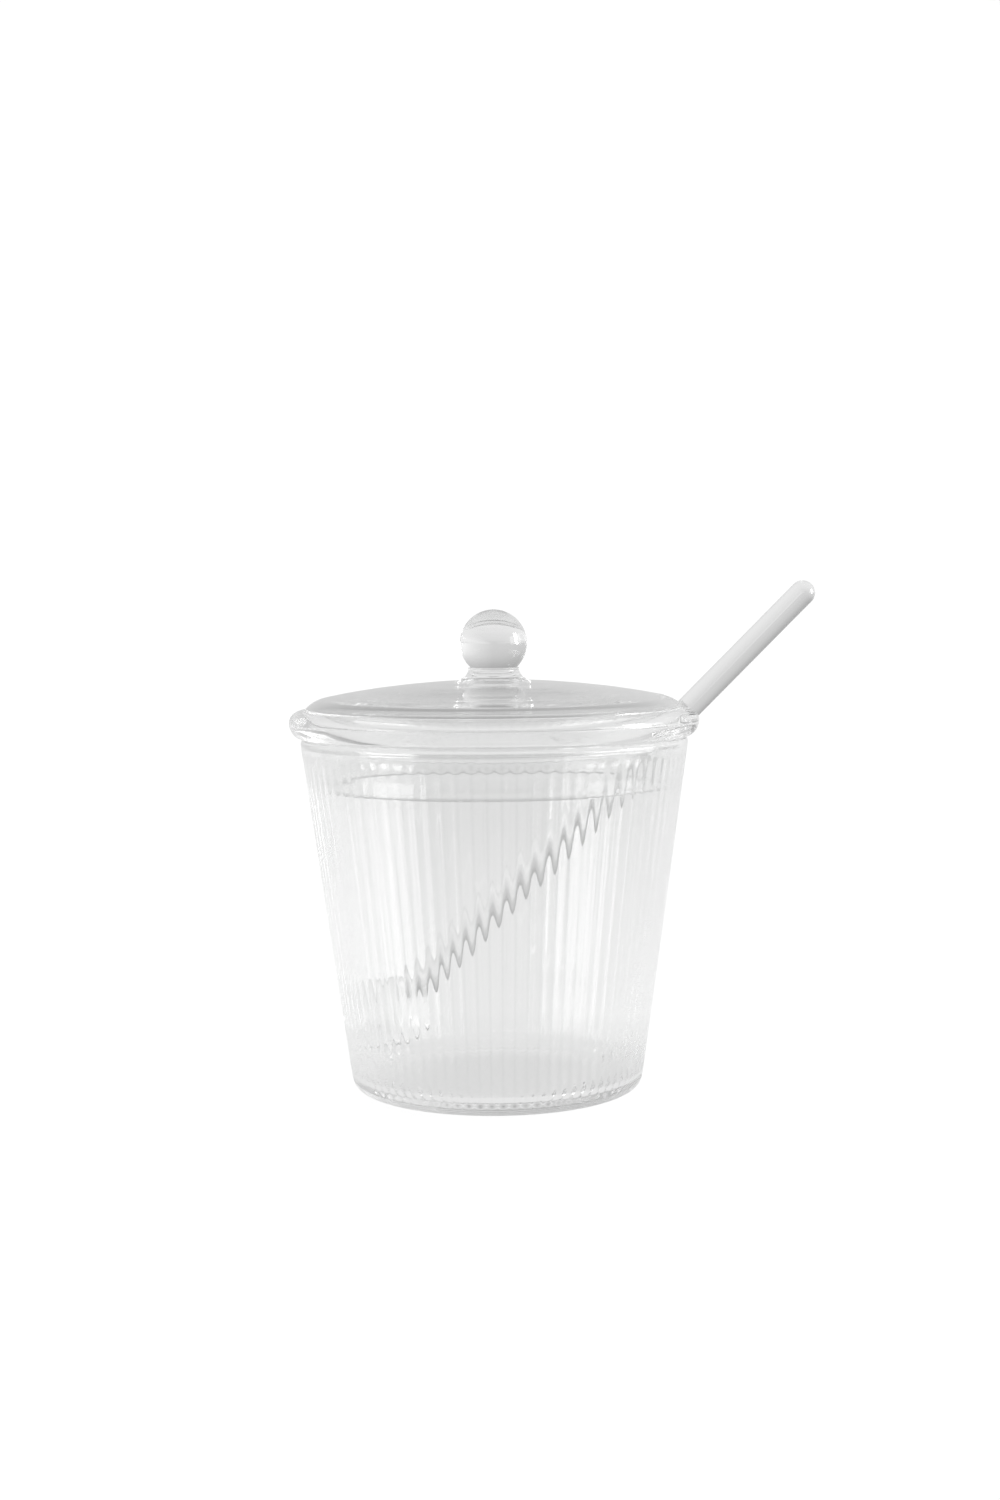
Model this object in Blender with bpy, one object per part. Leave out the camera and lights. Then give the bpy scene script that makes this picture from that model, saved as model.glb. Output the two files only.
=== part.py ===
# Ribbed glass sugar bowl with a lift-off lid, a fused ball knob and a loose spoon.
# Metres, +Z up. The bowl's axis is the Z axis and its foot stands on z = 0.
# The spoon leans out over the rim towards +X.
import math

import bmesh
import bpy
from mathutils import Vector

for old in list(bpy.data.objects):
    bpy.data.objects.remove(old, do_unlink=True)

MM = 0.001
GAP = 0.3                      # clearance between pieces that touch

# bowl
FOOT_R = 32.4                  # flat part of the foot
HEEL_R = 3.5                   # rounding from foot to wall
WALL_R8 = 36.53                # outer radius of the wall 8 mm above the foot
WALL_TAPER = 0.1396            # radius gained for each mm of height
WALL_T = 1.7
FLOOR_Z = 3.0
FLOOR_FILLET = 4.0
RIM_Z = 86.05
RIBS = 84
RIB_DEPTH = 0.13               # crest to valley
RIB_LOW, RIB_LOW_FULL = 1.2, 4.0
RIB_FULL, RIB_TOP = 81.0, 83.6
LIP_R = 0.95                   # fire-polished bead along the rim

# lid
SEAT_Z = RIM_Z + GAP           # underside of the bead
CROWN_Z = 100.1
CROWN_R = 215.0                # sphere radius of the crown
CROWN_EDGE = 41.5              # where the crown turns into the shoulder
SHOULDER_R = 8.22
SHOULDER_END = 48.6            # slope of the shoulder where it meets the bead, degrees
GLASS_T = 1.73
BEAD_C = (46.66, 90.28)
BEAD_OUT = 3.34
BEAD_UP = 2.86
BEAD_DOWN = BEAD_C[1] - SEAT_Z
COLLAR_R = 42.85
COLLAR_T = 1.42
COLLAR_Z = 74.25
COLLAR_LIP = 0.65              # height of the rounding at the collar's lower edge
ROLL_R, ROLL_Z = 46.64, 90.92  # outer end of the fold left inside the bead where the tube was upset
ROLL_RAD = 0.83

# notch for the spoon
SPOON_Y = 2.0
NOTCH_HALF = 4.4
NOTCH_IN = 40.2
NOTCH_CORNER = 1.8

# knob
BALL_R = 8.19
BALL_Z = 109.06
NECK_R = 6.15
NECK_Z = 102.5
KNOB_FOOT_R = 8.6

# spoon
ROD_R = 3.05
SPOON_END = (75.75, 120.57)    # centre of the handle's round end, x and z
SPOON_LEAN = 45.0              # degrees from vertical
SCOOP_S = 145.6                # from that centre to the scoop's centre
SCOOP_R = 8.4                  # the scoop is round and lies in the plane of the lean
SCOOP_DEPTH = 3.5
SCOOP_T = 1.4



def glass(name, colour, roughness):
    mat = bpy.data.materials.new(name)
    mat.use_nodes = True
    bsdf = mat.node_tree.nodes["Principled BSDF"]
    bsdf.inputs["Base Color"].default_value = colour
    bsdf.inputs["Roughness"].default_value = roughness
    bsdf.inputs["Metallic"].default_value = 0.0
    bsdf.inputs["IOR"].default_value = 1.47
    bsdf.inputs["Transmission Weight"].default_value = 1.0
    return mat


def arc(cx, cz, rx, rz, start, stop, steps):
    """Points of an elliptical arc, both ends included, angles in degrees."""
    out = []
    for i in range(steps + 1):
        a = math.radians(start + (stop - start) * i / steps)
        out.append((cx + rx * math.cos(a), cz + rz * math.sin(a)))
    return out


def smooth(a, b, x):
    t = min(1.0, max(0.0, (x - a) / (b - a)))
    return t * t * (3.0 - 2.0 * t)


def turned(name, profile, segments, material, base_z=0.0):
    """Spin a closed half profile, given in mm from axis to axis, about Z."""
    bm = bmesh.new()
    verts = [bm.verts.new((r * MM, 0.0, (z - base_z) * MM)) for r, z in profile]
    edges = [bm.edges.new((verts[i], verts[i + 1])) for i in range(len(verts) - 1)]
    bmesh.ops.spin(bm, geom=verts + edges, cent=(0, 0, 0), axis=(0, 0, 1),
                   angle=math.tau, steps=segments, use_merge=True)
    bmesh.ops.remove_doubles(bm, verts=bm.verts, dist=2e-6)
    bmesh.ops.recalc_face_normals(bm, faces=bm.faces)
    return finish(name, bm, material)


def finish(name, bm, material):
    mesh = bpy.data.meshes.new(name)
    bm.to_mesh(mesh)
    bm.free()
    mesh.shade_smooth()
    mesh.set_sharp_from_angle(angle=math.radians(40))
    mesh.materials.append(material)
    ob = bpy.data.objects.new(name, mesh)
    bpy.context.scene.collection.objects.link(ob)
    return ob


def wall(z):
    return WALL_R8 + (z - 8.0) * WALL_TAPER


def crown(r, apex, radius):
    return apex - radius + math.sqrt(radius * radius - r * r)


# ---------------------------------------------------------------- bowl
lip_z = RIM_Z - LIP_R
lip_c = wall(lip_z) - LIP_R
fillet_c = wall(FLOOR_Z + FLOOR_FILLET) - WALL_T - FLOOR_FILLET

bowl_profile = [(0.0, 0.0), (FOOT_R, 0.0)]
bowl_profile += arc(FOOT_R, HEEL_R, HEEL_R, HEEL_R, -65, -30, 1)
bowl_profile += [(wall(z), z) for z in (RIB_LOW_FULL, RIB_FULL, lip_z - 1.3)]
bowl_profile += arc(lip_c, lip_z, LIP_R, LIP_R, -40, 220, 6)
bowl_profile += [(wall(lip_z - 1.7) - WALL_T, lip_z - 1.7)]
bowl_profile += arc(fillet_c, FLOOR_Z + FLOOR_FILLET, FLOOR_FILLET, FLOOR_FILLET, 0, -90, 3)
bowl_profile += [(0.0, FLOOR_Z)]

clear_bowl = glass("bowl_glass", (0.93, 0.95, 0.95, 1.0), 0.03)
bowl = turned("bowl", bowl_profile, RIBS * 2, clear_bowl)

# flutes: each outer point between the heel and the rim band moves in by the rib's own wave
for v in bowl.data.vertices:
    r = math.hypot(v.co.x, v.co.y) / MM
    z = v.co.z / MM
    if r < wall(z) - WALL_T / 2 or not RIB_LOW < z < RIB_TOP:
        continue
    weight = smooth(RIB_LOW, RIB_LOW_FULL, z) * (1.0 - smooth(RIB_FULL, RIB_TOP, z))
    wave = 0.5 - 0.5 * math.cos(RIBS * math.atan2(v.co.y, v.co.x))
    k = 1.0 - RIB_DEPTH * weight * wave / r
    v.co.x *= k
    v.co.y *= k

# ---------------------------------------------------------------- lid
edge_slope = math.degrees(math.asin(CROWN_EDGE / CROWN_R))
edge_z = crown(CROWN_EDGE, CROWN_Z, CROWN_R)
sh_r = CROWN_EDGE - SHOULDER_R * math.sin(math.radians(edge_slope))
sh_z = edge_z - SHOULDER_R * math.cos(math.radians(edge_slope))
under = CROWN_Z - GLASS_T
collar_in = COLLAR_R - COLLAR_T
lip_mid = COLLAR_R - COLLAR_T / 2
inner_r = SHOULDER_R - GLASS_T

lid_profile = [(r, crown(r, CROWN_Z, CROWN_R)) for r in (0.0, 14.0, 26.0, 35.0)]
lid_profile += arc(sh_r, sh_z, SHOULDER_R, SHOULDER_R, 90 - edge_slope, 90 - SHOULDER_END, 3)
lid_profile += arc(BEAD_C[0], BEAD_C[1], BEAD_OUT, BEAD_UP, 96, 0, 4)
lid_profile += arc(BEAD_C[0], BEAD_C[1], BEAD_OUT, BEAD_DOWN, -30, -90, 2)
lid_profile += [(44.7, 87.0), (43.5, 87.9), (COLLAR_R, 87.3)]
lid_profile += [(COLLAR_R, COLLAR_Z + COLLAR_LIP + 0.2)]
lid_profile += arc(lip_mid, COLLAR_Z + COLLAR_LIP, COLLAR_T / 2, COLLAR_LIP, -10, -170, 4)
lid_profile += [(collar_in, COLLAR_Z + COLLAR_LIP + 0.2), (collar_in, 87.0), (collar_in + 0.5, 87.9)]
lid_profile += [(collar_in + 1.9, 88.5), (ROLL_R - ROLL_RAD - 0.4, ROLL_Z - ROLL_RAD * 0.94)]
lid_profile += arc(ROLL_R - ROLL_RAD, ROLL_Z, ROLL_RAD, ROLL_RAD, -70, 70, 2)
lid_profile += [(ROLL_R - ROLL_RAD - 0.6, ROLL_Z + ROLL_RAD + 0.2)]
lid_profile += arc(sh_r, sh_z, inner_r, inner_r, 42, 90 - edge_slope, 4)
lid_profile += [(r, crown(r, under, CROWN_R - GLASS_T)) for r in (36.0, 28.0, 16.0, 0.0)]

clear_lid = glass("lid_glass", (0.92, 0.94, 0.94, 1.0), 0.03)
lid = turned("lid", lid_profile, 72, clear_lid, base_z=SEAT_Z)
lid.location = (0.0, 0.0, SEAT_Z * MM)

# the notch is ground in from the edge, straight down through bead and collar
bm = bmesh.new()
bmesh.ops.create_cube(bm, size=1.0)
bmesh.ops.scale(bm, vec=((60.0 - NOTCH_IN) * MM, 2 * NOTCH_HALF * MM, 50.0 * MM), verts=bm.verts)
upright = [e for e in bm.edges
           if abs(e.verts[0].co.z - e.verts[1].co.z) > 0.01 and e.verts[0].co.x < 0.0]
bmesh.ops.bevel(bm, geom=upright, offset=NOTCH_CORNER * MM, segments=4, profile=0.5, affect='EDGES')
bmesh.ops.recalc_face_normals(bm, faces=bm.faces)
notch_mesh = bpy.data.meshes.new("lid_notch_cutter")
bm.to_mesh(notch_mesh)
bm.free()
notch = bpy.data.objects.new("lid_notch_cutter", notch_mesh)
bpy.context.scene.collection.objects.link(notch)
notch.location = ((60.0 + NOTCH_IN) / 2 * MM, SPOON_Y * MM, 86.0 * MM)
notch.hide_render = True
notch.display_type = 'WIRE'
cut = lid.modifiers.new("spoon_notch", 'BOOLEAN')
cut.operation = 'DIFFERENCE'
cut.solver = 'EXACT'
cut.object = notch

# ---------------------------------------------------------------- knob
foot_z = CROWN_Z + GAP
knob_profile = [(0.0, BALL_Z + BALL_R)]
knob_profile += arc(0.0, BALL_Z, BALL_R, BALL_R, 70, -48, 8)
knob_profile += [(NECK_R + 0.12, NECK_Z + 0.7), (NECK_R, NECK_Z), (NECK_R + 0.35, NECK_Z - 0.8)]
knob_profile += [(NECK_R + 0.95, foot_z + 0.75), (KNOB_FOOT_R, crown(KNOB_FOOT_R, foot_z, CROWN_R) + 0.45)]
knob_profile += [(KNOB_FOOT_R, crown(KNOB_FOOT_R, foot_z, CROWN_R)), (5.0, crown(5.0, foot_z, CROWN_R)), (0.0, foot_z)]

clear_knob = glass("knob_glass", (0.93, 0.95, 0.95, 1.0), 0.02)
knob = turned("lid_knob", knob_profile, 40, clear_knob, base_z=SEAT_Z)
knob.parent = lid

# ---------------------------------------------------------------- spoon
# Local +Z runs up the handle's axis from the round end's centre; the scoop is dished towards +Y.
def spoon_section(s):
    """Half width, dip, half thickness and edge power, s mm below the centre of the handle's round end."""
    if s < 0.0:
        r = ROD_R * math.sqrt(max(0.0, 1.0 - (s / ROD_R) ** 2))
        return r, 0.0, r, 1.0
    u = (s - SCOOP_S) / SCOOP_R
    round_part = SCOOP_R * math.sqrt(max(0.0, 1.0 - u * u))
    rod_part = ROD_R * (1.0 - smooth(SCOOP_S - 4.0, SCOOP_S + 2.0, s))
    half = math.hypot(round_part, rod_part) if s < SCOOP_S else round_part
    half = min(half, SCOOP_R)
    dip = SCOOP_DEPTH * (half / SCOOP_R) ** 2 * smooth(SCOOP_S - 9.0, SCOOP_S - 1.0, s)
    flat = smooth(SCOOP_S - 15.0, SCOOP_S - 5.0, s)
    thick = ROD_R + (SCOOP_T / 2 - ROD_R) * flat
    return half, dip, min(thick, max(half, 0.3)), 1.0 - 0.6 * flat


SIDES = 16
stations = [-ROD_R * math.cos(math.radians(a)) for a in (12, 40, 65, 90)]
stations += [50.0, 100.0]
stations += [SCOOP_S - 16.0 + 16.0 * i / 12 for i in range(13)]
stations += [SCOOP_S + SCOOP_R * math.sin(math.radians(a)) for a in (15, 30, 45, 58, 70, 80, 86)]

bm = bmesh.new()
rings = []
for s in stations:
    half, dip, thick, power = spoon_section(s)
    ring = []
    for i in range(SIDES):
        a = math.tau * i / SIDES
        c, sn = math.cos(a), math.sin(a)
        lift = math.copysign(abs(sn) ** power, sn) * thick
        ring.append(bm.verts.new((half * c * MM, (dip * (1.0 - c * c) + lift) * MM, -s * MM)))
    rings.append(ring)
for lower, upper in zip(rings[1:], rings[:-1]):
    for i in range(SIDES):
        j = (i + 1) % SIDES
        bm.faces.new((lower[i], lower[j], upper[j], upper[i]))
bm.faces.new(rings[0])
bm.faces.new(list(reversed(rings[-1])))
bmesh.ops.recalc_face_normals(bm, faces=bm.faces)

clear_spoon = glass("spoon_glass", (0.93, 0.95, 0.95, 1.0), 0.02)
spoon = finish("spoon", bm, clear_spoon)
spoon.location = Vector((SPOON_END[0] * MM, SPOON_Y * MM, SPOON_END[1] * MM))
spoon.rotation_euler = (0.0, math.radians(SPOON_LEAN), 0.0)
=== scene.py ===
import math

import bmesh
import bpy
import numpy as np
from mathutils import Matrix, Vector


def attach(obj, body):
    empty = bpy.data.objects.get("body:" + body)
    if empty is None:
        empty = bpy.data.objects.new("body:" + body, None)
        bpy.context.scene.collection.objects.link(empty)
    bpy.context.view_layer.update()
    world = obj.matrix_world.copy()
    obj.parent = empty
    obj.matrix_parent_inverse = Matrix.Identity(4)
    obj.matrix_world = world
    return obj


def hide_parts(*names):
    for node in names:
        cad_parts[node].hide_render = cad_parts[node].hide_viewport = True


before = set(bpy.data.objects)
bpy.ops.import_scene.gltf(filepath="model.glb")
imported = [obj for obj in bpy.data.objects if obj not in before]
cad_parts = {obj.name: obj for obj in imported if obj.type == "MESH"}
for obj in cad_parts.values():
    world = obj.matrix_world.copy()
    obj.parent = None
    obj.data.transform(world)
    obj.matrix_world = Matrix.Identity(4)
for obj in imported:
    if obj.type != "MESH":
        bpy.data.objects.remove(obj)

MM = 0.001
TAU = math.tau
scene = bpy.context.scene


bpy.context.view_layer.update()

# ------------------------------------------------------------------ dimensions, mm
FOOT_R, HEEL_R = 32.4, 3.5
WALL_R8, WALL_TAPER, WALL_T = 36.53, 0.1396, 1.7
FLOOR_Z, FLOOR_FILLET, RIM_Z = 3.0, 4.0, 86.05
RIBS, RIB_DEPTH, GROOVE, GROOVE_W = 84, 0.13, 0.008, 0.45
RIB_LOW, RIB_LOW_FULL, RIB_FULL, RIB_TOP = 1.2, 4.0, 80.6, 83.6
LIP_R = 0.95

SEAT_Z = 86.35
CROWN_Z, CROWN_R, CROWN_EDGE = 100.1, 215.0, 41.5
SHOULDER_R, SHOULDER_END, GLASS_T = 8.22, 48.6, 1.73
BEAD_C, BEAD_OUT, BEAD_UP = (46.66, 90.28), 3.34, 2.86
BEAD_DOWN = BEAD_C[1] - SEAT_Z
COLLAR_R, COLLAR_T, COLLAR_Z, COLLAR_LIP, COLLAR_STEP = 42.85, 1.42, 74.25, 0.65, 0.06
ROLL_R, ROLL_Z, ROLL_RAD, ROLL_TURN = 46.64, 90.74, 0.83, 42.0
SPOON_Y, NOTCH_HALF, NOTCH_IN, NOTCH_CORNER = 2.0, 4.4, 40.2, 1.8

BALL_R, BALL_Z, NECK_R, NECK_Z, KNOB_FOOT_R = 8.19, 109.06, 6.15, 102.5, 8.6

ROD_R, SPOON_END, SPOON_LEAN = 3.05, (75.75, 120.57), 45.0
SCOOP_S, SCOOP_R, SCOOP_DEPTH, SCOOP_T = 145.6, 8.4, 3.5, 1.4


# ------------------------------------------------------------------ shape helpers
def smooth(a, b, x):
    t = min(1.0, max(0.0, (x - a) / (b - a)))
    return t * t * (3.0 - 2.0 * t)


def arc(cx, cz, rx, rz, start, stop, steps):
    out = []
    for i in range(steps + 1):
        a = math.radians(start + (stop - start) * i / steps)
        out.append((cx + rx * math.cos(a), cz + rz * math.sin(a)))
    return out


def wall(z):
    return WALL_R8 + (z - 8.0) * WALL_TAPER


def crown(r, apex, radius):
    return apex - radius + math.sqrt(radius * radius - r * r)


def softened(points, step, passes):
    """A polyline laid out again at an even pitch, with its corners melted round."""
    p = np.array(points, float)
    seg = np.hypot(*np.diff(p, axis=0).T)
    at = np.concatenate([[0.0], np.cumsum(seg)])
    n = max(8, int(round(at[-1] / step)))
    s = np.linspace(0.0, at[-1], n + 1)
    q = np.stack([np.interp(s, at, p[:, 0]), np.interp(s, at, p[:, 1])], 1)
    for _ in range(passes):
        q[1:-1] = 0.25 * q[:-2] + 0.5 * q[1:-1] + 0.25 * q[2:]
    return q


def thinned(q, turn_deg, longest, grow=2.0):
    """Keeps a point where the line has turned by turn_deg or run on for longest mm, with spacings that grow gently."""
    d = np.diff(q, axis=0)
    heading = np.unwrap(np.arctan2(d[:, 1], d[:, 0]))
    at = np.concatenate([[0.0], np.cumsum(np.hypot(d[:, 0], d[:, 1]))])
    keep, last = [0], heading[0]
    for i in range(1, len(q) - 1):
        if abs(heading[i] - last) >= math.radians(turn_deg) or at[i] - at[keep[-1]] >= longest:
            keep.append(i)
            last = heading[i]
    keep.append(len(q) - 1)
    for _ in range(40):
        extra = set()
        for n in range(1, len(keep) - 1):
            before, after = at[keep[n]] - at[keep[n - 1]], at[keep[n + 1]] - at[keep[n]]
            if after > grow * before * 1.05:
                extra.add(int(np.argmin(np.abs(at - at[keep[n]] - grow * before))))
            if before > grow * after * 1.05:
                extra.add(int(np.argmin(np.abs(at - at[keep[n]] + grow * after))))
        fresh = extra - set(keep)
        if not fresh:
            break
        keep = sorted(set(keep) | fresh)
    return q[keep]


def spaced(q, turn_deg, longest, grow=0.6):
    """Picks points along a fine line so that each step turns about turn_deg at most, with spacings that grow smoothly."""
    d = np.diff(q, axis=0)
    step = np.hypot(d[:, 0], d[:, 1])
    at = np.concatenate([[0.0], np.cumsum(step)])
    bend = np.abs(np.diff(np.unwrap(np.arctan2(d[:, 1], d[:, 0]))))
    gap = np.full(len(q), float(longest))
    gap[1:-1] = np.minimum(longest, math.radians(turn_deg) * 0.5 * (step[1:] + step[:-1]) / np.maximum(bend, 1e-9))
    for i in range(1, len(q)):
        gap[i] = min(gap[i], gap[i - 1] + grow * step[i - 1])
    for i in range(len(q) - 2, -1, -1):
        gap[i] = min(gap[i], gap[i + 1] + grow * step[i])
    load = np.concatenate([[0.0], np.cumsum(step * 0.5 * (1.0 / gap[1:] + 1.0 / gap[:-1]))])
    goal = np.linspace(0.0, load[-1], int(math.ceil(load[-1])) + 1)
    keep = sorted({int(np.argmin(np.abs(load - g))) for g in goal})
    return q[keep]


def revolved(name, profile, th, shift=None):
    """Turns a half profile (mm, from axis to axis) about Z through the angles th; shift(r, z, angle) moves the points."""
    p = np.array(profile, float)
    inner = p[1:-1]
    segments = len(th)
    r = np.repeat(inner[:, 0][:, None], segments, 1)
    z = np.repeat(inner[:, 1][:, None], segments, 1)
    t = np.repeat(th[None, :], len(inner), 0)
    if shift is not None:
        r, z = shift(r, z, t)
    rows = np.stack([r * np.cos(t), r * np.sin(t), z], -1).reshape(-1, 3)
    verts = np.concatenate([[[0, 0, p[0, 1]]], rows, [[0, 0, p[-1, 1]]]]) * MM
    n = len(inner)
    j = np.arange(segments)
    k = (j + 1) % segments
    faces = []
    for i in range(n - 1):
        a, b = 1 + i * segments, 1 + (i + 1) * segments
        faces += np.stack([a + j, b + j, b + k, a + k], 1).tolist()
    faces += np.stack([np.zeros_like(j), 1 + j, 1 + k], 1).tolist()
    end, last = 1 + n * segments, 1 + (n - 1) * segments
    faces += np.stack([last + j, np.full_like(j, end), last + k], 1).tolist()
    return solid(name, verts, faces)


def solid(name, verts, faces):
    """A smooth-shaded closed mesh with its faces pointing out."""
    mesh = bpy.data.meshes.new(name)
    mesh.from_pydata(np.asarray(verts, float).tolist(), [], faces)
    mesh.update()
    bm = bmesh.new()
    bm.from_mesh(mesh)
    if bm.calc_volume(signed=True) < 0.0:
        bmesh.ops.reverse_faces(bm, faces=bm.faces)
    bm.to_mesh(mesh)
    bm.free()
    mesh.shade_smooth()
    ob = bpy.data.objects.new(name, mesh)
    scene.collection.objects.link(ob)
    return ob


# ------------------------------------------------------------------ materials
def nodes_of(mat):
    mat.use_nodes = True
    nt = mat.node_tree
    return nt, nt.nodes["Principled BSDF"]


def noise(nt, coords, scale, detail=2.0, rough=0.5, stretch=None):
    n = nt.nodes.new("ShaderNodeTexNoise")
    n.inputs["Scale"].default_value = scale
    n.inputs["Detail"].default_value = detail
    n.inputs["Roughness"].default_value = rough
    if stretch:
        m = nt.nodes.new("ShaderNodeMapping")
        m.inputs["Scale"].default_value = stretch
        nt.links.new(coords, m.inputs["Vector"])
        coords = m.outputs["Vector"]
    nt.links.new(coords, n.inputs["Vector"])
    return n.outputs["Fac"]


def ranged(nt, value, lo, hi, to_lo, to_hi):
    m = nt.nodes.new("ShaderNodeMapRange")
    m.inputs["From Min"].default_value = lo
    m.inputs["From Max"].default_value = hi
    m.inputs["To Min"].default_value = to_lo
    m.inputs["To Max"].default_value = to_hi
    nt.links.new(value, m.inputs["Value"])
    return m.outputs["Result"]


def ramp(nt, value, stops):
    r = nt.nodes.new("ShaderNodeValToRGB")
    e = r.color_ramp.elements
    while len(e) < len(stops):
        e.new(0.5)
    for el, (pos, col) in zip(e, stops):
        el.position = pos
        el.color = (*col, 1.0)
    nt.links.new(value, r.inputs["Fac"])
    return r.outputs["Color"]


def times(nt, a, b):
    m = nt.nodes.new("ShaderNodeMath")
    m.operation = "MULTIPLY"
    nt.links.new(a, m.inputs[0])
    nt.links.new(b, m.inputs[1])
    return m.outputs["Value"]


def painted_groove_shade(nt, at, ribs):
    """1 on the glass, lower along the bottom of every flute: painted shade that darkens the glass colour in each
    groove, fading out where the flutes end near the rim.
    """
    split = nt.nodes.new("ShaderNodeSeparateXYZ")
    nt.links.new(at, split.inputs["Vector"])
    turn = nt.nodes.new("ShaderNodeMath")
    turn.operation = "ARCTAN2"
    nt.links.new(split.outputs["Y"], turn.inputs[0])
    nt.links.new(split.outputs["X"], turn.inputs[1])
    count = nt.nodes.new("ShaderNodeMath")
    count.operation = "MULTIPLY"
    count.inputs[1].default_value = ribs
    nt.links.new(turn.outputs["Value"], count.inputs[0])
    wave = nt.nodes.new("ShaderNodeMath")
    wave.operation = "COSINE"
    nt.links.new(count.outputs["Value"], wave.inputs[0])
    line = ranged(nt, wave.outputs["Value"], -1.0, -0.70, 1.0, 0.0)
    line = times(nt, line, ranged(nt, split.outputs["Z"], (RIB_FULL - 1.0) * MM, RIB_TOP * MM, 1.0, 0.0))
    return ranged(nt, line, 0.0, 1.0, 1.0, 0.60)


def clear_glass(name, stretch, wave, ribs=0, clear=1.0):
    """Clear blown glass: faint cords in the melt, a slightly uneven polished skin, a trace of handling haze."""
    mat = bpy.data.materials.new(name)
    nt, bsdf = nodes_of(mat)
    at = nt.nodes.new("ShaderNodeTexCoord").outputs["Object"]
    cords = noise(nt, at, 90.0, 3.0, 0.55, stretch)
    tone_and_groove_shade = ranged(nt, cords, 0.3, 0.7, 0.9, 1.0)
    # with ribs given, painted shade darkens the colour along the bottom of every flute; the cords' tone is the glass's
    # own
    if ribs:
        tone_and_groove_shade = times(nt, tone_and_groove_shade, painted_groove_shade(nt, at, ribs))
    nt.links.new(ramp(nt, tone_and_groove_shade, [(0.0, (0.86 * clear, 0.865 * clear, 0.863 * clear)),
                             (1.0, (0.998 * clear, 0.999 * clear, 0.998 * clear))]), bsdf.inputs["Base Color"])
    haze = noise(nt, at, 260.0, 4.0, 0.6)
    nt.links.new(ranged(nt, haze, 0.62, 0.9, 0.0, 0.006), bsdf.inputs["Roughness"])
    skin = noise(nt, at, 140.0, 1.0, 0.4, stretch)
    bump = nt.nodes.new("ShaderNodeBump")
    bump.inputs["Strength"].default_value = 1.0
    bump.inputs["Distance"].default_value = wave
    nt.links.new(skin, bump.inputs["Height"])
    nt.links.new(bump.outputs["Normal"], bsdf.inputs["Normal"])
    bsdf.inputs["IOR"].default_value = 1.474
    bsdf.inputs["Transmission Weight"].default_value = 1.0
    return mat


# ------------------------------------------------------------------ bowl
lip_z = RIM_Z - LIP_R
lip_c = wall(lip_z) - LIP_R
fillet_c = wall(FLOOR_Z + FLOOR_FILLET) - WALL_T - FLOOR_FILLET

outline = [(0.0, 0.0), (FOOT_R, 0.0)]
outline += arc(FOOT_R, HEEL_R, HEEL_R, HEEL_R, -80, -25, 8)
outline += [(wall(z), z) for z in (RIB_LOW_FULL + 0.6, 20.0, RIB_FULL, lip_z - 1.3)]
outline += arc(lip_c, lip_z, LIP_R, LIP_R, -40, 220, 20)
outline += [(wall(lip_z - 1.7) - WALL_T, lip_z - 1.7)]
outline += arc(fillet_c, FLOOR_Z + FLOOR_FILLET, FLOOR_FILLET, FLOOR_FILLET, 0, -90, 10)
outline += [(0.0, FLOOR_Z)]
fine = softened(outline, 0.15, 8)
bowl_rows = spaced(fine, 10.0, 7.0)
# extra rows where the flutes fade out
top = int(np.argmax(fine[:, 1]))
heights = np.concatenate([np.arange(RIB_LOW, RIB_LOW_FULL + 1.0, 0.45), np.arange(RIB_FULL - 1.0, RIB_TOP + 0.6, 0.45)])
start = int(np.argmax(fine[:, 0] > FOOT_R + 0.5))
places = [start + int(np.argmin(np.abs(fine[start:top, 1] - z))) for z in heights]
kept = {int(np.argmin(np.hypot(*(fine - p).T))) for p in bowl_rows} | set(places)
kept = sorted(kept)
apart = [kept[0]]
for i in kept[1:-1]:
    if math.dist(fine[i], fine[apart[-1]]) > 0.2 and math.dist(fine[i], fine[kept[-1]]) > 0.2:
        apart.append(i)
bowl_rows = fine[apart + [kept[-1]]]


def sway(t):
    """How far each rib wanders from its even place round the bowl, as a phase."""
    return 0.16 * np.sin(5 * t + 1.3) + 0.10 * np.sin(17 * t + 0.4) + 0.05 * np.sin(31 * t)


share = np.arange(12) / 12.0
phase = TAU * (np.arange(RIBS)[:, None] + share[None, :]).ravel()
round_about = phase / RIBS
for _ in range(8):
    round_about = (phase - sway(round_about)) / RIBS


def flutes(r, z, t):
    """The moulded ribs on the outer skin, each a little different, and a faint unevenness inside."""
    low = np.clip((z - RIB_LOW) / (RIB_LOW_FULL - RIB_LOW), 0, 1)
    low = low * low * (3 - 2 * low)
    top = RIB_TOP + 0.35 * np.sin(9 * t + 0.7) * np.sin(23 * t)
    high = np.clip((z - RIB_FULL) / (top - RIB_FULL), 0, 1)
    high = high * high * (3 - 2 * high)
    outside = r > WALL_R8 + (z - 8.0) * WALL_TAPER - WALL_T / 2
    outside &= (z > 0.3)
    strength = 1.0 + 0.10 * np.sin(11 * t + 2.0) + 0.08 * np.sin(29 * t + 0.5)
    turn = RIBS * t + sway(t)
    wave = 0.5 - 0.5 * np.cos(turn)
    off = np.abs(np.mod(turn, TAU) - math.pi)
    cut = (RIB_DEPTH * wave + GROOVE * np.exp(-(off / GROOVE_W) ** 2)) * strength * low * (1 - high)
    inside = (~outside) & (z > FLOOR_Z + 2.0)
    ripple = 0.03 * np.sin(6 * t + 0.06 * z) + 0.015 * np.sin(19 * t + 1.0 - 0.04 * z)
    foot = (~outside) & (z > FLOOR_Z + 0.05) & (r > 20.0)
    lobe = np.clip((z - FLOOR_Z) / 0.8, 0, 1) * np.clip((11.0 - z) / 6.0, 0, 1)
    r = r - np.where(foot, 0.40 * lobe * wave, 0.0)
    return r - np.where(outside, cut, 0.0) + np.where(inside, ripple * np.clip((z - 5.0) / 10.0, 0, 1) * np.clip((84.0 - z) / 10.0, 0, 1), 0.0), z


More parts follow.
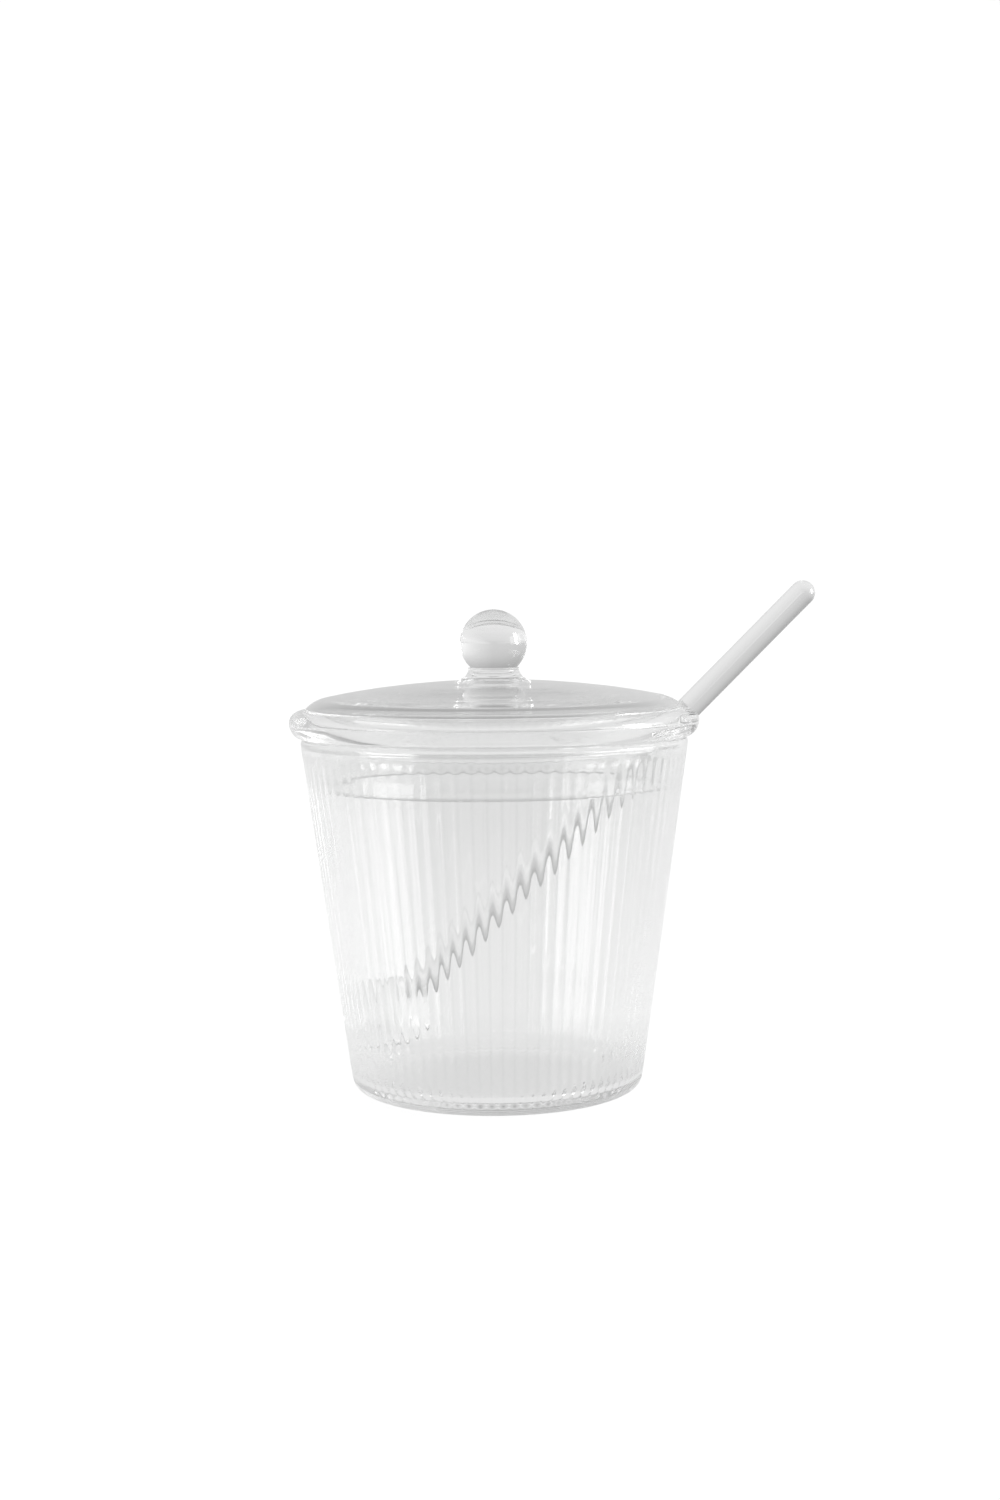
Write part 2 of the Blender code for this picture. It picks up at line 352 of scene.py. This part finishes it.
bowl = revolved("bowl_glass_body", bowl_rows, round_about, flutes)
bowl.data.materials.append(clear_glass("ribbed_clear_glass", (1.0, 1.0, 0.08), 0.0000004, RIBS))
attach(bowl, "bowl")
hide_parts("bowl")

# ------------------------------------------------------------------ lid, with its fused knob
edge_slope = math.degrees(math.asin(CROWN_EDGE / CROWN_R))
edge_z = crown(CROWN_EDGE, CROWN_Z, CROWN_R)
sh_r = CROWN_EDGE - SHOULDER_R * math.sin(math.radians(edge_slope))
sh_z = edge_z - SHOULDER_R * math.cos(math.radians(edge_slope))
under = CROWN_Z - GLASS_T
collar_in = COLLAR_R - COLLAR_T
lip_mid = COLLAR_R - (COLLAR_T - COLLAR_STEP) / 2

outline = arc(0.0, BALL_Z, BALL_R, BALL_R, 90, -48, 40)
outline += [(NECK_R + 0.12, NECK_Z + 0.7), (NECK_R, NECK_Z), (NECK_R + 0.35, NECK_Z - 0.8)]
outline += [(NECK_R + 0.95, CROWN_Z + 0.75), (KNOB_FOOT_R, crown(KNOB_FOOT_R, CROWN_Z, CROWN_R) + 0.12)]
outline += [(r, crown(r, CROWN_Z, CROWN_R)) for r in np.arange(KNOB_FOOT_R + 1.0, CROWN_EDGE - 0.5, 1.0)]
outline += arc(sh_r, sh_z, SHOULDER_R, SHOULDER_R, 90 - edge_slope, 90 - SHOULDER_END, 10)
outline += arc(BEAD_C[0], BEAD_C[1], BEAD_OUT, BEAD_UP, 102, 0, 16)
outline += arc(BEAD_C[0], BEAD_C[1], BEAD_OUT, BEAD_DOWN, -8, -90, 12)
outline += [(44.7, 87.0), (43.5, 87.9), (COLLAR_R, 87.3)]
outline += [(COLLAR_R, COLLAR_Z + COLLAR_LIP + 0.2)]
outline += arc(lip_mid, COLLAR_Z + COLLAR_LIP, COLLAR_R - lip_mid, COLLAR_LIP, -10, -170, 10)
outline += [(collar_in + COLLAR_STEP, COLLAR_Z + 2.4), (collar_in, COLLAR_Z + 2.9), (collar_in, 87.0)]
outline += [(collar_in + 0.5, 87.9), (collar_in + 1.9, 88.5), (ROLL_R - ROLL_RAD - 0.4, ROLL_Z - ROLL_RAD * 0.94)]
outline += arc(ROLL_R - ROLL_RAD, ROLL_Z, ROLL_RAD, ROLL_RAD, -70, 70, 6)
outline += [(ROLL_R - ROLL_RAD - 0.6, ROLL_Z + ROLL_RAD + 0.2)]
outline += arc(sh_r, sh_z, SHOULDER_R - GLASS_T, SHOULDER_R - GLASS_T, ROLL_TURN, 90 - edge_slope, 10)
outline += [(r, crown(r, under, CROWN_R - GLASS_T)) for r in np.arange(39.5, 0.0, -1.0)] + [(0.0, under)]
lid_rows = thinned(softened(outline, 0.1, 4), 6.0, 2.2)


def turned_marks(r, z, t):
    """Faint rings and a slight wobble left by turning the lid in the flame."""
    on_crown = np.clip((r - 11.0) / 4.0, 0, 1) * np.clip((41.0 - r) / 4.0, 0, 1) * (z > 94.0)
    rings = 0.018 * np.sin(r * 1.9) + 0.012 * np.sin(r * 3.1 + 1.0 + 0.6 * np.sin(t))
    wobble = 0.05 * np.cos(2 * t + 0.6) * np.clip(r / 40.0, 0, 1)
    return r, z + on_crown * (rings + wobble)


lid = revolved("lid_glass_cover", lid_rows, np.arange(288) * TAU / 288, turned_marks)

bm = bmesh.new()
bmesh.ops.create_cube(bm, size=1.0)
bmesh.ops.scale(bm, vec=((60.0 - NOTCH_IN) * MM, 2 * NOTCH_HALF * MM, 50.0 * MM), verts=bm.verts)
upright = [e for e in bm.edges if abs(e.verts[0].co.z - e.verts[1].co.z) > 0.01 and e.verts[0].co.x < 0.0]
bmesh.ops.bevel(bm, geom=upright, offset=NOTCH_CORNER * MM, segments=8, profile=0.5, affect="EDGES")
bmesh.ops.translate(bm, vec=((60.0 + NOTCH_IN) / 2 * MM, SPOON_Y * MM, 86.0 * MM), verts=bm.verts)
bmesh.ops.recalc_face_normals(bm, faces=bm.faces)
cutter_mesh = bpy.data.meshes.new("notch_cutter")
bm.to_mesh(cutter_mesh)
bm.free()
cutter = bpy.data.objects.new("notch_cutter", cutter_mesh)
scene.collection.objects.link(cutter)
cut = lid.modifiers.new("notch", "BOOLEAN")
cut.operation, cut.solver, cut.object = "DIFFERENCE", "EXACT", cutter
bpy.context.view_layer.update()
made = bpy.data.meshes.new_from_object(lid.evaluated_get(bpy.context.evaluated_depsgraph_get()))
lid.modifiers.clear()
lid.data = made
made.name = "lid_glass_cover"
bpy.data.objects.remove(cutter, do_unlink=True)
made.shade_smooth()
made.set_sharp_from_angle(angle=math.radians(38))
made.materials.clear()
# painted shade: the lid's copy of the glass is 2 percent darker than the bowl's
made.materials.append(clear_glass("lid_clear_glass", (1.0, 1.0, 1.0), 0.000002, clear=0.98))
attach(lid, "lid")
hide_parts("lid", "lid_knob")


# ------------------------------------------------------------------ spoon
def spoon_section(s):
    """Half width, dip, half thickness and edge power, s mm below the centre of the handle's round end."""
    if s < 0.0:
        r = ROD_R * math.sqrt(max(0.0, 1.0 - (s / ROD_R) ** 2))
        return r, 0.0, r, 1.0
    u = (s - SCOOP_S) / SCOOP_R
    round_part = SCOOP_R * math.sqrt(max(0.0, 1.0 - u * u))
    rod_part = ROD_R * (1.0 - smooth(SCOOP_S - 4.0, SCOOP_S + 2.0, s))
    half = math.hypot(round_part, rod_part) if s < SCOOP_S else round_part
    half = min(half, SCOOP_R)
    dip = SCOOP_DEPTH * (half / SCOOP_R) ** 2 * smooth(SCOOP_S - 9.0, SCOOP_S - 1.0, s)
    flat = smooth(SCOOP_S - 15.0, SCOOP_S - 5.0, s)
    thick = ROD_R + (SCOOP_T / 2 - ROD_R) * flat
    return half, dip, min(thick, max(half, 0.3)), 1.0 - 0.6 * flat


SIDES = 56
stations = [-ROD_R * math.cos(math.radians(a)) for a in (3, 10, 18, 26, 34, 42, 50, 58, 66, 74, 82, 90)]
neck = SCOOP_S - 16.0
stations += [0.35, 0.9, 1.8, 3.2] + [5.0 + (neck - 9.0) * f for f in np.linspace(0.0, 1.0, 38)] + [neck - 2.2, neck - 0.9]
stations += [neck + 16.0 * i / 44 for i in range(45)]
stations += [SCOOP_S + SCOOP_R * math.sin(math.radians(a)) for a in np.linspace(2.5, 88.8, 34)]
verts, faces = [], []
for s in stations:
    half, dip, thick, power = spoon_section(s)
    for i in range(SIDES):
        a = TAU * i / SIDES
        c, sn = math.cos(a), math.sin(a)
        lift = math.copysign(abs(sn) ** power, sn) * thick
        verts.append((half * c * MM, (dip * (1.0 - c * c) + lift) * MM, -s * MM))
for m in range(len(stations) - 1):
    for i in range(SIDES):
        j = (i + 1) % SIDES
        faces.append((m * SIDES + i, m * SIDES + j, (m + 1) * SIDES + j, (m + 1) * SIDES + i))
faces.append(tuple(range(SIDES)))
faces.append(tuple(range(len(verts) - 1, len(verts) - SIDES - 1, -1)))
spoon = solid("spoon_glass_rod", verts, faces)
spoon.data.transform(Matrix.Translation((SPOON_END[0] * MM, SPOON_Y * MM, SPOON_END[1] * MM))
                     @ Matrix.Rotation(math.radians(SPOON_LEAN), 4, "Y"))
# painted shade: the spoon's copy of the glass is 3 percent darker than the bowl's
spoon.data.materials.append(clear_glass("spoon_clear_glass", (1.0, 1.0, 1.0), 0.0000001, clear=0.97))
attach(spoon, "spoon")
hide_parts("spoon")

# ------------------------------------------------------------------ floor
bm = bmesh.new()
bmesh.ops.create_circle(bm, cap_ends=True, radius=12.0, segments=96)
bmesh.ops.translate(bm, vec=(0, 0, -0.00015), verts=bm.verts)
floor_mesh = bpy.data.meshes.new("floor")
bm.to_mesh(floor_mesh)
bm.free()
floor = bpy.data.objects.new("floor", floor_mesh)
scene.collection.objects.link(floor)
pale = bpy.data.materials.new("pale_floor")
nt, bsdf = nodes_of(pale)
at = nt.nodes.new("ShaderNodeTexCoord").outputs["Object"]
span = nt.nodes.new("ShaderNodeVectorMath")
span.operation = "LENGTH"
nt.links.new(at, span.inputs[0])
# Seen by the camera the floor glows white, 3 percent dimmer within 6 cm of the bowl's axis and full from 40 cm out: a
# faint painted contact shadow. Its small base colour, a little larger near the bowl, takes the lamps' real shadows.
away = ranged(nt, span.outputs["Value"], 0.06, 0.40, 0.0, 1.0)
nt.links.new(ramp(nt, away, [(0.0, (0.06, 0.06, 0.06)), (1.0, (0.02, 0.02, 0.02))]), bsdf.inputs["Base Color"])
bsdf.inputs["Emission Color"].default_value = (1.0, 1.0, 1.0, 1.0)
nt.links.new(ranged(nt, away, 0.0, 1.0, 0.97, 1.0), bsdf.inputs["Emission Strength"])
bsdf.inputs["Roughness"].default_value = 0.7
bsdf.inputs["Specular IOR Level"].default_value = 0.2
# What the glass and all other non-camera rays see of the floor is this emission: painted shadow under the bowl (0.81 at
# the centre, 0.875 about 9 cm out), fading to 0.70 two metres off, and painted window light making it up to 25 percent
# brighter towards +X and 10 percent towards -X.
glow_painted_light_and_shadow = nt.nodes.new("ShaderNodeEmission")
nt.links.new(ramp(nt, ranged(nt, span.outputs["Value"], 0.0, 2.0, 0.0, 1.0),
                  [(0.0, (0.81, 0.81, 0.81)), (0.02, (0.82, 0.82, 0.82)), (0.045, (0.875, 0.875, 0.875)), (0.12, (0.86, 0.86, 0.86)), (0.30, (0.785, 0.785, 0.785)), (1.0, (0.70, 0.70, 0.70))]), glow_painted_light_and_shadow.inputs["Color"])
table = nt.nodes.new("ShaderNodeSeparateXYZ")
nt.links.new(at, table.inputs["Vector"])
nt.links.new(ramp(nt, ranged(nt, table.outputs["X"], -1.0, 1.0, 0.0, 1.0),
                  [(0.0, (1.1, 1.1, 1.1)), (0.40, (1.0, 1.0, 1.0)), (0.58, (1.0, 1.0, 1.0)), (0.8, (1.2, 1.2, 1.2)), (1.0, (1.25, 1.25, 1.25))]), glow_painted_light_and_shadow.inputs["Strength"])
seen = nt.nodes.new("ShaderNodeLightPath")
mix = nt.nodes.new("ShaderNodeMixShader")
nt.links.new(seen.outputs["Is Camera Ray"], mix.inputs[0])
nt.links.new(glow_painted_light_and_shadow.outputs["Emission"], mix.inputs[1])
nt.links.new(bsdf.outputs["BSDF"], mix.inputs[2])
nt.links.new(mix.outputs["Shader"], nt.nodes["Material Output"].inputs["Surface"])
floor_mesh.materials.append(pale)


# ------------------------------------------------------------------ light
def softbox(name, azimuth, elevation, distance, width, height, radiance, skin=True, inside=True):
    """A window-like soft light aimed at the bowl; azimuth runs from the camera's side towards +X.

    skin: mirrored by the outer skin of the glass; inside: seen by light that has gone through it.
    """
    aim = Vector((0.0, 0.0, 0.06))
    a, e = math.radians(azimuth), math.radians(elevation)
    out = Vector((math.sin(a) * math.cos(e), -math.cos(a) * math.cos(e), math.sin(e)))
    data = bpy.data.lights.new(name, "AREA")
    data.shape, data.size, data.size_y = "RECTANGLE", width, height
    data.energy = radiance * math.pi * width * height
    ob = bpy.data.objects.new(name, data)
    ob.location = aim + out * distance
    ob.rotation_euler = out.to_track_quat("Z", "Y").to_euler()
    ob.visible_camera = False
    ob.visible_glossy = skin
    ob.visible_transmission = inside
    scene.collection.objects.link(ob)


softbox("window_left", -68.0, 7.0, 1.4, 0.95, 0.62, 3.2, skin=False)
softbox("window_right", 84.0, 8.0, 1.4, 1.25, 0.72, 2.4)
softbox("window_right_glint", 86.5, 8.0, 1.4, 0.40, 1.0, 8.0, inside=False)

world = bpy.data.worlds.new("studio")
scene.world = world
world.use_nodes = True
nt = world.node_tree
back = nt.nodes["Background"]
way = nt.nodes.new("ShaderNodeTexCoord").outputs["Generated"]
split = nt.nodes.new("ShaderNodeSeparateXYZ")
nt.links.new(way, split.inputs["Vector"])
gain = nt.nodes.new("ShaderNodeMath")
gain.operation = "MULTIPLY"
gain.inputs[1].default_value = 2.0
front = nt.nodes.new("ShaderNodeMath")
front.operation = "MULTIPLY"
nt.links.new(gain.outputs["Value"], front.inputs[0])
nt.links.new(ramp(nt, ranged(nt, split.outputs["Y"], -1.0, 1.0, 0.0, 1.0),
                  [(0.0, (0.25, 0.25, 0.25)), (0.30, (0.40, 0.40, 0.40)), (0.48, (0.92, 0.92, 0.92)), (0.62, (1.0, 1.0, 1.0))]), front.inputs[1])
nt.links.new(front.outputs["Value"], back.inputs["Strength"])
sky = ramp(nt, split.outputs["Z"], [(0.0, (0.67, 0.67, 0.67)), (0.12, (0.65, 0.65, 0.65)), (0.24, (0.61, 0.61, 0.61)), (0.33, (0.55, 0.55, 0.55)),
                                    (0.40, (0.51, 0.51, 0.51)), (0.48, (0.46, 0.46, 0.46)), (0.60, (0.41, 0.41, 0.41)), (1.0, (0.40, 0.40, 0.40))])
nt.links.new(sky, back.inputs["Color"])
side = ranged(nt, split.outputs["X"], -1.0, 1.0, 0.0, 1.0)
nt.links.new(ramp(nt, side, [(0.0, (0.47, 0.47, 0.47)), (0.5, (0.50, 0.50, 0.50)), (0.645, (0.585, 0.585, 0.585)),
                             (0.72, (0.635, 0.635, 0.635)), (0.845, (0.74, 0.74, 0.74)), (0.95, (0.88, 0.88, 0.88))]), gain.inputs[0])
plain = nt.nodes.new("ShaderNodeBackground")
plain.inputs["Color"].default_value = (1.0, 1.0, 1.0, 1.0)
plain.inputs["Strength"].default_value = 1.02
seen = nt.nodes.new("ShaderNodeLightPath")
mix = nt.nodes.new("ShaderNodeMixShader")
nt.links.new(seen.outputs["Is Camera Ray"], mix.inputs[0])
nt.links.new(back.outputs["Background"], mix.inputs[1])
nt.links.new(plain.outputs["Background"], mix.inputs[2])
nt.links.new(mix.outputs["Shader"], nt.nodes["World Output"].inputs["Surface"])

# ------------------------------------------------------------------ camera
cam_data = bpy.data.cameras.new("camera")
cam_data.sensor_fit = "VERTICAL"
cam_data.sensor_height = 36.0
cam_data.sensor_width = 24.0
cam_data.lens = 2096.0 / 1500.0 * 36.0
cam_data.clip_start = 0.01
cam_data.clip_end = 100.0
cam = bpy.data.objects.new("camera", cam_data)
cam.matrix_world = (Matrix.Translation((1.362 * MM, -512.2 * MM, 119.56 * MM))
                    @ Matrix.Rotation(math.radians(90.0 - 4.097), 4, "X")
                    @ Matrix.Rotation(math.radians(-0.549), 4, "Z"))
scene.collection.objects.link(cam)
scene.camera = cam

scene.view_settings.view_transform = "Standard"
scene.view_settings.look = "None"
scene.cycles.max_bounces = 160
scene.cycles.transmission_bounces = 160
scene.cycles.glossy_bounces = 160
scene.cycles.diffuse_bounces = 4
scene.cycles.transparent_max_bounces = 16
scene.cycles.sample_clamp_indirect = 6.0
scene.cycles.use_denoising = True
scene.cycles.denoising_input_passes = "RGB"
scene.cycles.denoising_prefilter = "ACCURATE"

bpy.context.view_layer.update()
